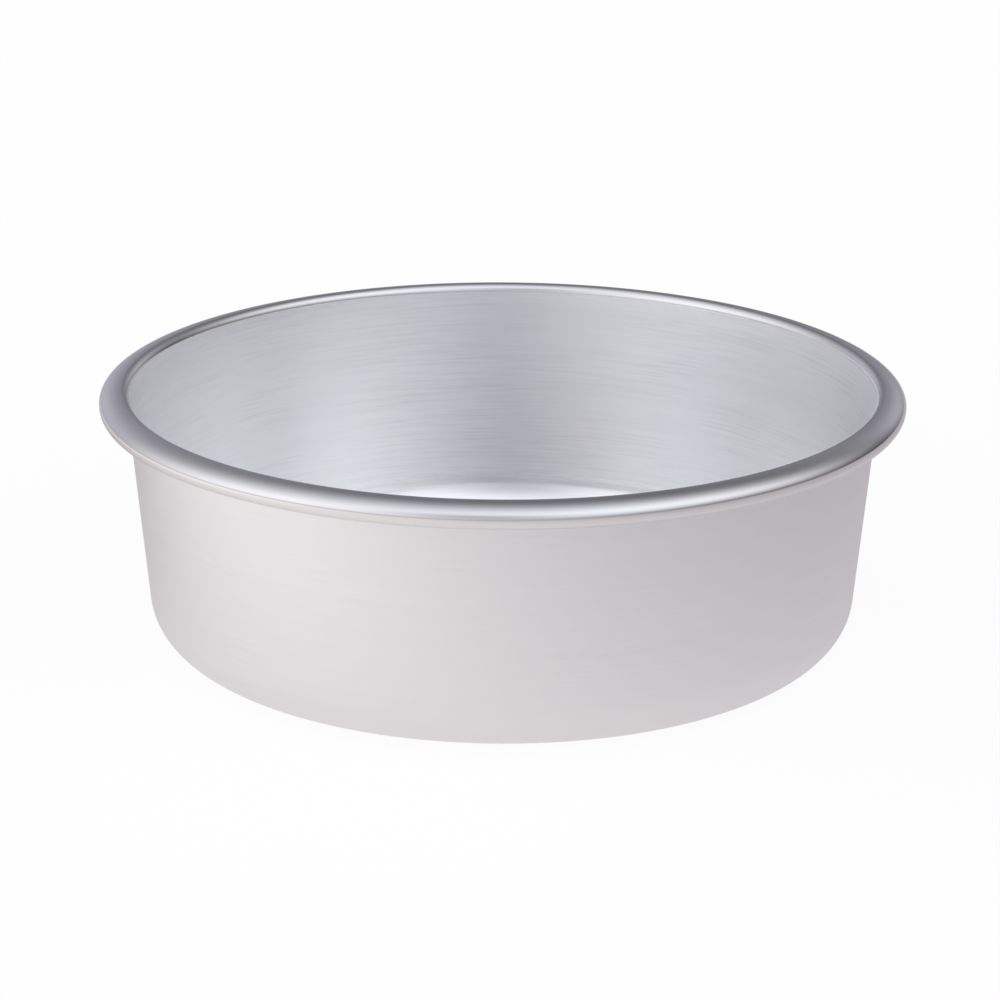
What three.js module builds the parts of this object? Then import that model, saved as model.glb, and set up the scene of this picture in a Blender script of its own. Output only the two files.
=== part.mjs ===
// Round cake pan, formed from one disc of sheet aluminium: a flat base, a rounded corner,
// a wall that flares towards the mouth, and an edge that is rolled outwards into a hollow bead.
// Millimetres, +Z up. The origin is at the centre of the base's underside, on the axis.

import * as THREE from "three";

// Driving dimensions
const mouthDiameter = 240; // across the inside, where the wall turns into the rolled edge
const overallHeight = 84; // underside of the base to the top of the rolled edge
const sheetThickness = 1;
const wallDraft = 5; // degrees the wall leans outwards, so that pans nest and a cake lets go
const cornerRadius = 16; // outside radius between base and wall
const shoulderBend = 1.6; // inside bend radius where the wall turns over at the mouth
const crownReach = 7; // from the top of the edge out to its widest point
const crownDrop = 4.2; // from the top of the edge down to its widest point
const tuckBend = 2.5; // inside bend radius where the sheet turns back under
const lipGap = 0.6; // slot left between the cut lip and the wall

// Facets
const turnSteps = 80; // round the axis
const cornerSteps = 8; // along each face of the base corner
const bendSteps = 5; // along each face of each bend of the rolled edge

// Directions in the section, as angles in radius against height
const outwards = 0;
const upwards = Math.PI / 2;
const downwards = -Math.PI / 2;
const wallNormal = -THREE.MathUtils.degToRad(wallDraft);
const wallSlope = Math.tan(-wallNormal);

// Outside radii of the two round bends
const shoulderRadius = shoulderBend + sheetThickness;
const tuckRadius = tuckBend + sheetThickness;

// Centres of the bends. The shoulder touches the wall's inner face at the mouth and the pan's
// top. The crown, a quarter of an oval, takes over from it at the top, and the tuck takes over
// from the crown at the widest point.
const shoulderCentre = new THREE.Vector2(
  mouthDiameter / 2 + shoulderRadius * Math.cos(wallNormal),
  overallHeight - shoulderRadius,
);
const crownCentre = new THREE.Vector2(shoulderCentre.x, overallHeight - crownDrop);
const tuckCentre = new THREE.Vector2(
  crownCentre.x + crownReach - tuckRadius,
  crownCentre.y,
);

// Radius of the wall's outer face at a height.
function wallOutside(height) {
  const atShoulder = shoulderCentre.x - shoulderBend / Math.cos(wallNormal);
  return atShoulder - (shoulderCentre.y - height) * wallSlope;
}

// The cut lip stands upright, with its upper corner lipGap away from the wall.
const lipRadius = wallOutside(tuckCentre.y - tuckBend) + lipGap;

// Centre of the base corner, shared by both faces of the sheet. It stands cornerRadius above
// the underside and the same distance inside the wall's outer face.
const cornerCentre = new THREE.Vector2(
  wallOutside(cornerRadius) - cornerRadius / Math.cos(wallNormal),
  cornerRadius,
);

// Points on an oval, given half its width and half its height, from one angle to another.
function oval(centre, halfWidth, halfHeight, from, to, steps) {
  const points = [];
  for (let k = 0; k <= steps; k += 1) {
    const angle = THREE.MathUtils.lerp(from, to, k / steps);
    const x = centre.x + halfWidth * Math.cos(angle);
    const y = centre.y + halfHeight * Math.sin(angle);
    points.push(new THREE.Vector2(x, y));
  }
  return points;
}

// Points on a circle, from one angle to another.
function arc(centre, radius, from, to, steps) {
  return oval(centre, radius, radius, from, to, steps);
}

// One face of the base corner, inside the outer face by a depth.
function cornerFace(depth) {
  return arc(cornerCentre, cornerRadius - depth, downwards, wallNormal, cornerSteps);
}

// One face of the rolled edge, from the wall over the top and down the outside, then back
// under to the cut lip. Every bend is smaller by the face's depth below the outside.
function edgeFace(depth) {
  const shoulderStart = wallNormal + Math.PI;
  const reach = crownReach - depth;
  const drop = crownDrop - depth;
  const tuck = tuckRadius - depth;
  return [
    ...arc(shoulderCentre, shoulderRadius - depth, shoulderStart, upwards, bendSteps),
    ...oval(crownCentre, reach, drop, upwards, outwards, bendSteps).slice(1),
    ...arc(tuckCentre, tuck, outwards, downwards, bendSteps).slice(1),
    new THREE.Vector2(lipRadius, tuckCentre.y - tuck),
  ];
}

// Half section of the sheet, radius against height: out along the underside, up the outer
// face and round the hollow of the edge, across the cut lip, then back round the outside of
// the edge, down the inner face and in along the floor.
function sheetSection() {
  return [
    new THREE.Vector2(0, 0),
    ...cornerFace(0),
    ...edgeFace(sheetThickness),
    ...edgeFace(0).reverse(),
    ...cornerFace(sheetThickness).reverse(),
    new THREE.Vector2(0, sheetThickness),
  ];
}

// The pan is the section turned about its axis.
function panBody() {
  const geometry = new THREE.LatheGeometry(sheetSection(), turnSteps);
  geometry.rotateX(Math.PI / 2);
  const satinAluminium = new THREE.MeshStandardMaterial({
    color: 0xc9cacd,
    metalness: 1,
    roughness: 0.42,
  });
  const mesh = new THREE.Mesh(geometry, satinAluminium);
  mesh.name = "pan_body";
  return mesh;
}

const cakePan = new THREE.Group();
cakePan.name = "cake_pan";
cakePan.add(panBody());

export default cakePan;
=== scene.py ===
"""A round cake pan of sheet aluminium with a rolled edge, on a pale studio floor.

Metres, +Z up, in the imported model's frame: the origin is the centre of the pan's underside.
The pan is one piece of metal, so it is one mesh: the section of the sheet, turned about +Z.
"""

import math

import bpy
import numpy as np
from mathutils import Matrix, Vector


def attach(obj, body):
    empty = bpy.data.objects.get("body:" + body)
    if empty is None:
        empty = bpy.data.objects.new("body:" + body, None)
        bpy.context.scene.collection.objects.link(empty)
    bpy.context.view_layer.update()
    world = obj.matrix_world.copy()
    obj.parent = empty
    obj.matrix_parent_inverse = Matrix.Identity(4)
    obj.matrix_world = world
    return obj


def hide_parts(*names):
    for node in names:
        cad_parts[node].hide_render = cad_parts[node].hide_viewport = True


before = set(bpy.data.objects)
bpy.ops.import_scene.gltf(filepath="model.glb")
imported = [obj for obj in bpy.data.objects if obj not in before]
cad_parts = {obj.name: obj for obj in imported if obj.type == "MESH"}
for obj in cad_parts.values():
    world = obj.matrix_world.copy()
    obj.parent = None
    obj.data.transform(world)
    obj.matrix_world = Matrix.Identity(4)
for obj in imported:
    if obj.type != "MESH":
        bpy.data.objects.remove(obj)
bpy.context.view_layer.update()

# Sizes of the pan, as in the model's own source. The two bends are inside radii of the rolled
# edge, and the crown is measured on its outside.
MOUTH_RADIUS = 0.120
HEIGHT = 0.084
SHEET = 0.001
DRAFT = math.radians(5)
CORNER_RADIUS = 0.016
SHOULDER_BEND = 0.0016
CROWN_REACH = 0.007
CROWN_DROP = 0.0042
TUCK_BEND = 0.0025
LIP_GAP = 0.0006

# Sizes that only the mesh has: the rounded corners of the cut lip, and the smallest ring, which
# a fan of triangles closes at the axis.
LIP_ROUNDING = 0.0003
HUB_RADIUS = 0.0008

# Steps round the axis, along the flats, and along each bend. The bends in the hollow of the
# edge, which hardly show, have fewer.
TURNS = 288
FLAT_STEPS = 12
CORNER_STEPS = 24
SHOULDER_STEPS = 20
CROWN_STEPS = 30
TUCK_STEPS = 12
HOLLOW_SHOULDER_STEPS = 8
HOLLOW_CROWN_STEPS = 14
HOLLOW_TUCK_STEPS = 6
LIP_STEPS = 4

# Finishes of the sheet, in the order of their material slots. The streaks are the share by which
# tool marks change the metal's shade, the stretch is how far they draw out reflections, and the
# depth is that of their relief.
FINISHES = (
    dict(
        name="satin_outside",
        shade=(0.9, 0.9, 0.9),
        streaks=0.018,
        roughness=0.4,
        stretch=0.0,
        depth=0.000004,
    ),
    dict(
        name="rolled_edge",
        shade=(0.84, 0.835, 0.823),
        streaks=0.01,
        roughness=0.18,
        stretch=0.0,
        depth=0.000002,
    ),
    dict(
        name="turned_wall",
        shade=(0.98, 0.98, 0.98),
        streaks=0.06,
        roughness=0.32,
        stretch=0.62,
        depth=0.00001,
    ),
    dict(
        name="turned_floor",
        shade=(0.98, 0.98, 0.98),
        streaks=0.06,
        roughness=0.22,
        stretch=0.5,
        depth=0.00001,
    ),
)
OUTSIDE, EDGE, WALL, FLOOR = range(len(FINISHES))

# The noise that tool marks are made of: how fast it changes round the pan, how often it changes
# in a metre across the marks, and its finer detail. Its values lie mostly within a reach of a
# middle, and the metal's roughness follows the fine marks within a reach of its own.
FINE_MARKS = dict(around=5.0, across=1500.0, detail=1.0)
PATCHES = dict(around=2.5, across=45.0, detail=2.0)
BANDS = dict(around=1.2, across=170.0, detail=2.0)
NOISE_ROUGHNESS = 0.6
NOISE_MIDDLE = 0.5
NOISE_REACH = 0.2
ROUGHNESS_REACH = 0.02
QUARTER_TURN = 0.25

# The photograph's view
VIEW_DISTANCE = 1.028
VIEW_ELEVATION = math.radians(18.59)
VIEW_ROLL = 0.0046
FOCAL_PIXELS = 3142.5
FRAME_PIXELS = 1000
PAN_OFFSET_PIXELS = (2.2, 2.5)
SENSOR_MILLIMETRES = 36
NEAREST_SEEN = 0.01
FARTHEST_SEEN = 50

# The studio's large lamps, with linear colours. The azimuth is in degrees to the right of the
# front, the elevation in degrees above the floor, and the focus grows as a lamp gets smaller.
# The strongest is on the left, two are on the right, two dim ones are behind the pan, and the
# dimmest is overhead.
LAMPS = (
    dict(azimuth=-68, elevation=20, focus=3, colour=(1.1, 1.1, 1.165)),
    dict(azimuth=91, elevation=45, focus=12, colour=(0.69, 0.68, 0.71)),
    dict(azimuth=28, elevation=42, focus=8.2, colour=(0.67, 0.705, 0.76)),
    dict(azimuth=-158, elevation=6, focus=30, colour=(0.33, 0.325, 0.4)),
    dict(azimuth=155, elevation=12, focus=40, colour=(0.42, 0.41, 0.47)),
    dict(azimuth=175, elevation=82, focus=12, colour=(0.15, 0.155, 0.2)),
)

# A gap between the lamps, nearly straight in front, dims their light by a share.
GAP = dict(azimuth=-6, elevation=34, focus=32)
GAP_SHARE = 0.46

# The floor as the camera sees it: a glow of its own, and a share of the light that falls on it.
FLOOR_SIZE = 8.0
FLOOR_GLOW = 0.9
FLOOR_SHADE = (0.13, 0.13, 0.13, 1)

# The floor's light, as the pan reflects it, is a painted glow: an even level, a painted pool of
# light on the left, and a painted shadow of the pan behind it, which takes away a share.
FLOOR_LIGHT = (0.5, 0.47, 0.5)
PAINTED_POOL_LIGHT = (0.56, 0.555, 0.525)
PAINTED_POOL_CENTRE = (-0.39, -0.07, 0)
PAINTED_POOL_RADIUS = 0.77
PAINTED_SHADOW_CENTRE = (-0.15, 0.17, 0)
PAINTED_SHADOW_RADIUS = 0.36
PAINTED_SHADOW_SHARE = 0.51

# Light runs round the inside of the wall in many shallow reflections.
GLOSSY_BOUNCES = 8


def arc(centre, radius, start, end, steps):
    """Points on a circle, at evenly spaced angles from the start to the end.

    Each is the centre plus the radius times the cosine and sine of its angle. Two radii, across
    and up, give an oval.
    """
    angles = np.linspace(start, end, steps + 1)
    around = np.column_stack([np.cos(angles), np.sin(angles)])
    return np.asarray(centre) + np.asarray(radius) * around


def line(start, end, steps):
    """Points at even steps on a straight line: the start plus a growing share of the way to the end."""
    share = np.linspace(0, 1, steps + 1)[:, None]
    return np.asarray(start) * (1 - share) + np.asarray(end) * share


def sheet_section():
    """Half section of the sheet, radius against height, with the finish of each stretch.

    It runs out along the underside, round the corner and up the outer wall, round the hollow of
    the rolled edge to the cut lip, back round the outside of the edge, and down the inner wall to
    the floor. The shoulder touches the wall at the mouth and the pan's top. The crown, a quarter
    of an oval, goes on from the top to the widest point, and the tuck turns under from there. The
    corner's centre lies one corner radius above the underside and one corner radius inside the
    wall's outer face. The cut lip is upright, with two rounded corners.
    """
    up = math.pi / 2
    down = -math.pi / 2
    inwards = math.pi
    mouth = math.pi - DRAFT
    normal = np.array([math.cos(DRAFT), -math.sin(DRAFT)])

    shoulder_radius = SHOULDER_BEND + SHEET
    tuck_radius = TUCK_BEND + SHEET
    crown_radii = np.array([CROWN_REACH, CROWN_DROP])
    inner_corner = CORNER_RADIUS - SHEET
    shoulder_out = MOUTH_RADIUS + shoulder_radius * math.cos(DRAFT)
    shoulder = np.array([shoulder_out, HEIGHT - shoulder_radius])
    crown = np.array([shoulder_out, HEIGHT - CROWN_DROP])
    tuck = np.array([shoulder_out + CROWN_REACH - tuck_radius, crown[1]])

    under = tuck[1] - tuck_radius
    roof = tuck[1] - TUCK_BEND
    wall = shoulder_out - SHOULDER_BEND / math.cos(DRAFT)
    lip = wall - (shoulder[1] - roof) * math.tan(DRAFT) + LIP_GAP + LIP_ROUNDING
    lip_top = (lip, roof - LIP_ROUNDING)
    lip_bottom = (lip, under + LIP_ROUNDING)
    foot = wall - (shoulder[1] - CORNER_RADIUS) * math.tan(DRAFT)
    corner = np.array([foot - CORNER_RADIUS / math.cos(DRAFT), CORNER_RADIUS])

    outer_foot = corner + CORNER_RADIUS * normal
    outer_top = shoulder - SHOULDER_BEND * normal
    inner_foot = corner + inner_corner * normal
    inner_top = shoulder - shoulder_radius * normal
    stretches = [
        (line((HUB_RADIUS, 0), (corner[0], 0), FLAT_STEPS), OUTSIDE),
        (arc(corner, CORNER_RADIUS, down, -DRAFT, CORNER_STEPS), OUTSIDE),
        (line(outer_foot, outer_top, FLAT_STEPS), OUTSIDE),
        (arc(shoulder, SHOULDER_BEND, mouth, up, HOLLOW_SHOULDER_STEPS), OUTSIDE),
        (arc(crown, crown_radii - SHEET, up, 0, HOLLOW_CROWN_STEPS), OUTSIDE),
        (arc(tuck, TUCK_BEND, 0, down, HOLLOW_TUCK_STEPS), OUTSIDE),
        (line((tuck[0], roof), (lip, roof), LIP_STEPS), OUTSIDE),
        (arc(lip_top, LIP_ROUNDING, up, inwards, LIP_STEPS), EDGE),
        (arc(lip_bottom, LIP_ROUNDING, inwards, inwards + up, LIP_STEPS), EDGE),
        (line((lip, under), (tuck[0], under), LIP_STEPS), EDGE),
        (arc(tuck, tuck_radius, down, 0, TUCK_STEPS), EDGE),
        (arc(crown, crown_radii, 0, up, CROWN_STEPS), EDGE),
        (arc(shoulder, shoulder_radius, up, mouth, SHOULDER_STEPS), EDGE),
        (line(inner_top, inner_foot, FLAT_STEPS), WALL),
        (arc(corner, inner_corner, -DRAFT, down, CORNER_STEPS), FLOOR),
        (line((corner[0], SHEET), (HUB_RADIUS, SHEET), FLAT_STEPS), FLOOR),
    ]
    points = np.concatenate([stretches[0][0][:1]] + [rows[1:] for rows, _ in stretches])
    finish = np.concatenate([np.full(len(rows) - 1, kind) for rows, kind in stretches])
    return points, finish


def turned_mesh(name, points, finish):
    """A section turned about +Z: each point (r, z) gives a ring (r cos a, r sin a, z).

    Rings next to each other are joined by quads, and a point on the axis closes each end. The
    grain attribute holds the cosine and sine of the angle and the distance along the section, so
    that tool marks run round the pan on the wall, the edge and the floor alike.
    """
    rings = len(points)
    angles = np.arange(TURNS) * (2 * math.pi / TURNS)
    cosine = np.broadcast_to(np.cos(angles), (rings, TURNS))
    sine = np.broadcast_to(np.sin(angles), (rings, TURNS))
    radius = points[:, :1]
    height = np.broadcast_to(points[:, 1:], (rings, TURNS))
    place = np.stack([radius * cosine, radius * sine, height], 2).reshape(-1, 3)
    poles = np.array([[0, 0, points[0, 1]], [0, 0, points[-1, 1]]])
    steps = np.linalg.norm(np.diff(points, axis=0), axis=1)
    along = np.concatenate([[0], np.cumsum(steps)]) + points[0, 0]
    distance = np.broadcast_to(along[:, None], (rings, TURNS))
    grain = np.stack([cosine, sine, distance], 2).reshape(-1, 3)
    pole_grain = np.array([[0, 0, 0], [0, 0, along[-1] + points[-1, 0]]])

    index = np.arange(rings * TURNS).reshape(rings, TURNS)
    beside = np.roll(index, -1, axis=1)
    quads = np.stack([index[:-1], beside[:-1], beside[1:], index[1:]], 2).reshape(-1, 4)
    pole = np.full(TURNS, rings * TURNS)
    lower = np.column_stack([pole, beside[0], index[0]])
    upper = np.column_stack([pole + 1, index[-1], beside[-1]])

    mesh = bpy.data.meshes.new(name)
    faces = quads.tolist() + lower.tolist() + upper.tolist()
    mesh.from_pydata(np.concatenate([place, poles]).tolist(), [], faces)
    slots = np.concatenate([
        np.repeat(finish, TURNS),
        np.full(TURNS, finish[0]),
        np.full(TURNS, finish[-1]),
    ])
    mesh.polygons.foreach_set("material_index", slots.astype(np.int32))
    mesh.polygons.foreach_set("use_smooth", np.ones(len(faces), bool))
    marks = mesh.attributes.new("grain", "FLOAT_VECTOR", "POINT")
    all_grain = np.concatenate([grain, pole_grain]).astype(np.float32)
    marks.data.foreach_set("vector", all_grain.ravel())
    mesh.update()
    return mesh


def fill(tree, socket, value):
    """Links an output socket to an input socket, or sets a constant on it."""
    if isinstance(value, bpy.types.NodeSocket):
        tree.links.new(value, socket)
    else:
        socket.default_value = value


def add_node(tree, kind, **inputs):
    """A shader node with its inputs filled by name."""
    node = tree.nodes.new(kind)
    for name, value in inputs.items():
        fill(tree, node.inputs[name.replace("_", " ")], value)
    return node


def vector_math(tree, operation, *values):
    """A vector node with its first inputs filled."""
    node = tree.nodes.new("ShaderNodeVectorMath")
    node.operation = operation
    for socket, value in zip(node.inputs, values):
        fill(tree, socket, value)
    return node


def number_math(tree, operation, *values):
    """The result of a number node with its first inputs filled."""
    node = tree.nodes.new("ShaderNodeMath")
    node.operation = operation
    for socket, value in zip(node.inputs, values):
        fill(tree, socket, value)
    return node.outputs["Value"]


def scaled(tree, vector, share):
    """A vector or colour times a number."""
    node = vector_math(tree, "SCALE", vector)
    fill(tree, node.inputs["Scale"], share)
    return node.outputs["Vector"]


def dimmed(tree, spot, share):
    """What a spot leaves of the light: one, less a share of the spot."""
    return number_math(tree, "MULTIPLY_ADD", spot, -share, 1.0)


def tool_marks(tree, around, across, detail):
    """Noise drawn out round the pan: slow along the turn, fast across it."""
    grain = tree.nodes.new("ShaderNodeAttribute")
    grain.attribute_name = "grain"
    stretched = vector_math(tree, "MULTIPLY", grain.outputs["Vector"], (around, around, across))
    noise = add_node(
        tree,
        "ShaderNodeTexNoise",
        Vector=stretched.outputs["Vector"],
        Scale=1.0,
        Detail=detail,
        Roughness=NOISE_ROUGHNESS,
    )
    return noise.outputs["Fac"]


def spread(tree, noise, middle, reach):
    """A noise value, spread from its own middle and reach to a given middle and reach."""
    gain = reach / NOISE_REACH
    return number_math(tree, "MULTIPLY_ADD", noise, gain, middle - gain * NOISE_MIDDLE)


def relief(tree, height, depth):
    """A normal that leans as the height of the tool marks rises and falls, over a depth in metres."""
    bump = add_node(tree, "ShaderNodeBump", Height=height, Strength=1.0, Distance=depth)
    return bump.outputs["Normal"]


def turned_aluminium(name, shade, streaks, roughness, stretch, depth):
    """Sheet aluminium with the marks of the forming tool, which ran round the pan.

    The metal's shade varies by a share in fine streaks, which come and go in patches, and by a
    third of that share in broader bands. Its roughness and its shallow relief follow the streaks.
    Reflections are stretched across the marks.
    """
    material = bpy.data.materials.new(name)
    material.use_nodes = True
    tree = material.node_tree
    tree.nodes.clear()
    fine = tool_marks(tree, **FINE_MARKS)
    patches = tool_marks(tree, **PATCHES)
    bands = tool_marks(tree, **BANDS)
    lines = spread(tree, fine, 0.0, streaks)
    patchy = number_math(tree, "MULTIPLY", lines, spread(tree, patches, 0.5, 0.5))
    level = number_math(tree, "ADD", patchy, spread(tree, bands, 1.0, streaks / 3))
    tangent = tree.nodes.new("ShaderNodeTangent")
    tangent.direction_type = "RADIAL"
    tangent.axis = "Z"
    shader = add_node(
        tree,
        "ShaderNodeBsdfPrincipled",
        Base_Color=scaled(tree, shade, level),
        Metallic=1.0,
        Roughness=spread(tree, fine, roughness, ROUGHNESS_REACH),
        Normal=relief(tree, fine, depth),
        Tangent=tangent.outputs["Tangent"],
        Anisotropic=stretch,
        Anisotropic_Rotation=QUARTER_TURN,
    )
    add_node(tree, "ShaderNodeOutputMaterial", Surface=shader.outputs["BSDF"])
    return material


def direction(azimuth, elevation):
    """A unit vector, from degrees to the right of the front, which is -Y, and degrees above the floor."""
    turn = math.radians(azimuth)
    rise = math.radians(elevation)
    return (math.cos(rise) * math.sin(turn), -math.cos(rise) * math.cos(turn), math.sin(rise))


def lobe(tree, ray, azimuth, elevation, focus):
    """How near each ray is to a middle direction.

    It is half of one plus the cosine of the angle between them, to a power, which is the focus.
    """
    middle = direction(azimuth, elevation)
    cosine = vector_math(tree, "DOT_PRODUCT", ray, middle).outputs["Value"]
    half = number_math(tree, "MULTIPLY_ADD", cosine, 0.5, 0.5)
    return number_math(tree, "POWER", half, focus)


def studio_world():
    """A dark studio with large soft lamps.

    The light is the sum of each lamp's colour times its lobe, less the share that the gap takes.
    """
    world = bpy.data.worlds.new("studio")
    world.use_nodes = True
    tree = world.node_tree
    ray = tree.nodes.new("ShaderNodeTexCoord").outputs["Generated"]
    light = (0, 0, 0)
    for lamp in LAMPS:
        near = lobe(tree, ray, lamp["azimuth"], lamp["elevation"], lamp["focus"])
        glow = scaled(tree, lamp["colour"], near)
        light = vector_math(tree, "ADD", glow, light).outputs["Vector"]
    left = dimmed(tree, lobe(tree, ray, **GAP), GAP_SHARE)
    background = tree.nodes["Background"]
    fill(tree, background.inputs["Color"], scaled(tree, light, left))
    fill(tree, background.inputs["Strength"], 1.0)
    bpy.context.scene.world = world


def round_spot(tree, place, centre, radius):
    """A soft round spot: 1 at its centre, easing to 0 at its radius."""
    distance = vector_math(tree, "DISTANCE", place, centre).outputs["Value"]
    node = add_node(tree, "ShaderNodeMapRange", Value=distance, From_Min=radius, From_Max=0.0)
    node.interpolation_type = "SMOOTHSTEP"
    return node.outputs["Result"]


def pale_floor():
    """The floor's material.

    The camera sees it nearly white, with a faint shadow. The pan's reflections see a painted glow
    instead of the light that falls on it: an even level, a painted pool of light on the left, and a
    painted shadow of the pan.
    """
    material = bpy.data.materials.new("pale_floor")
    material.use_nodes = True
    tree = material.node_tree
    tree.nodes.clear()
    place = tree.nodes.new("ShaderNodeTexCoord").outputs["Object"]
    # A painted pool of light on the left, in the glow that the pan's reflections see.
    painted_pool = scaled(tree, PAINTED_POOL_LIGHT, round_spot(tree, place, PAINTED_POOL_CENTRE, PAINTED_POOL_RADIUS))
    light = vector_math(tree, "ADD", painted_pool, FLOOR_LIGHT).outputs["Vector"]
    # A painted shadow of the pan behind it, which dims that glow by a share.
    left = dimmed(tree, round_spot(tree, place, PAINTED_SHADOW_CENTRE, PAINTED_SHADOW_RADIUS), PAINTED_SHADOW_SHARE)
    painted_floor_glow = add_node(tree, "ShaderNodeEmission", Color=scaled(tree, light, left), Strength=1.0)
    plain = add_node(tree, "ShaderNodeEmission", Color=(1, 1, 1, 1), Strength=FLOOR_GLOW)
    shaded = add_node(tree, "ShaderNodeBsdfDiffuse", Color=FLOOR_SHADE)
    seen = tree.nodes.new("ShaderNodeAddShader")
    fill(tree, seen.inputs[0], plain.outputs["Emission"])
    fill(tree, seen.inputs[1], shaded.outputs["BSDF"])
    path = tree.nodes.new("ShaderNodeLightPath")
    choice = add_node(tree, "ShaderNodeMixShader", Fac=path.outputs["Is Camera Ray"])
    fill(tree, choice.inputs[1], painted_floor_glow.outputs["Emission"])
    fill(tree, choice.inputs[2], seen.outputs["Shader"])
    add_node(tree, "ShaderNodeOutputMaterial", Surface=choice.outputs["Shader"])
    return material


def studio_floor():
    """A flat square floor under the pan."""
    mesh = bpy.data.meshes.new("studio_floor")
    half = FLOOR_SIZE / 2
    corners = [(-half, -half, 0), (half, -half, 0), (half, half, 0), (-half, half, 0)]
    mesh.from_pydata(corners, [], [(0, 1, 2, 3)])
    mesh.materials.append(pale_floor())
    floor = bpy.data.objects.new("studio_floor", mesh)
    bpy.context.scene.collection.objects.link(floor)


def photo_camera():
    """A camera at the photograph's viewpoint, turned so that the pan lies where it does in the frame.

    The viewpoint is on a sphere round the middle of the pan. The camera aims beside that middle by
    the pan's offset from the middle of the frame, and is rolled a little about its own axis.
    """
    middle = Vector((0, 0, HEIGHT / 2))
    back = Vector((0, -math.cos(VIEW_ELEVATION), math.sin(VIEW_ELEVATION)))
    place = middle + VIEW_DISTANCE * back
    right = Vector((1, 0, 0))
    up = back.cross(right)
    scale = VIEW_DISTANCE / FOCAL_PIXELS
    across, above = PAN_OFFSET_PIXELS
    aim = middle - right * (across * scale) + up * (above * scale)
    back = (place - aim).normalized()
    level = up.cross(back).normalized()
    upright = back.cross(level)
    right = level * math.cos(VIEW_ROLL) + upright * math.sin(VIEW_ROLL)
    up = upright * math.cos(VIEW_ROLL) - level * math.sin(VIEW_ROLL)
    data = bpy.data.cameras.new("photo_camera")
    data.sensor_width = SENSOR_MILLIMETRES
    data.lens = SENSOR_MILLIMETRES * FOCAL_PIXELS / FRAME_PIXELS
    data.clip_start = NEAREST_SEEN
    data.clip_end = FARTHEST_SEEN
    camera = bpy.data.objects.new("photo_camera", data)
    turn = Matrix((right, up, back)).transposed().to_4x4()
    camera.matrix_world = Matrix.Translation(place) @ turn
    bpy.context.scene.collection.objects.link(camera)
    bpy.context.scene.camera = camera


def cake_pan():
    """The pan, with its outside, rolled edge, inner wall and floor each in their own finish."""
    points, finish = sheet_section()
    mesh = turned_mesh("cake_pan_sheet", points, finish)
    for look in FINISHES:
        mesh.materials.append(turned_aluminium(**look))
    pan = bpy.data.objects.new("cake_pan_sheet", mesh)
    bpy.context.scene.collection.objects.link(pan)
    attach(pan, "root")
    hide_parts("pan_body")


photo_camera()
studio_floor()
studio_world()
cake_pan()
bpy.context.scene.view_settings.view_transform = "Standard"
bpy.context.scene.cycles.glossy_bounces = GLOSSY_BOUNCES
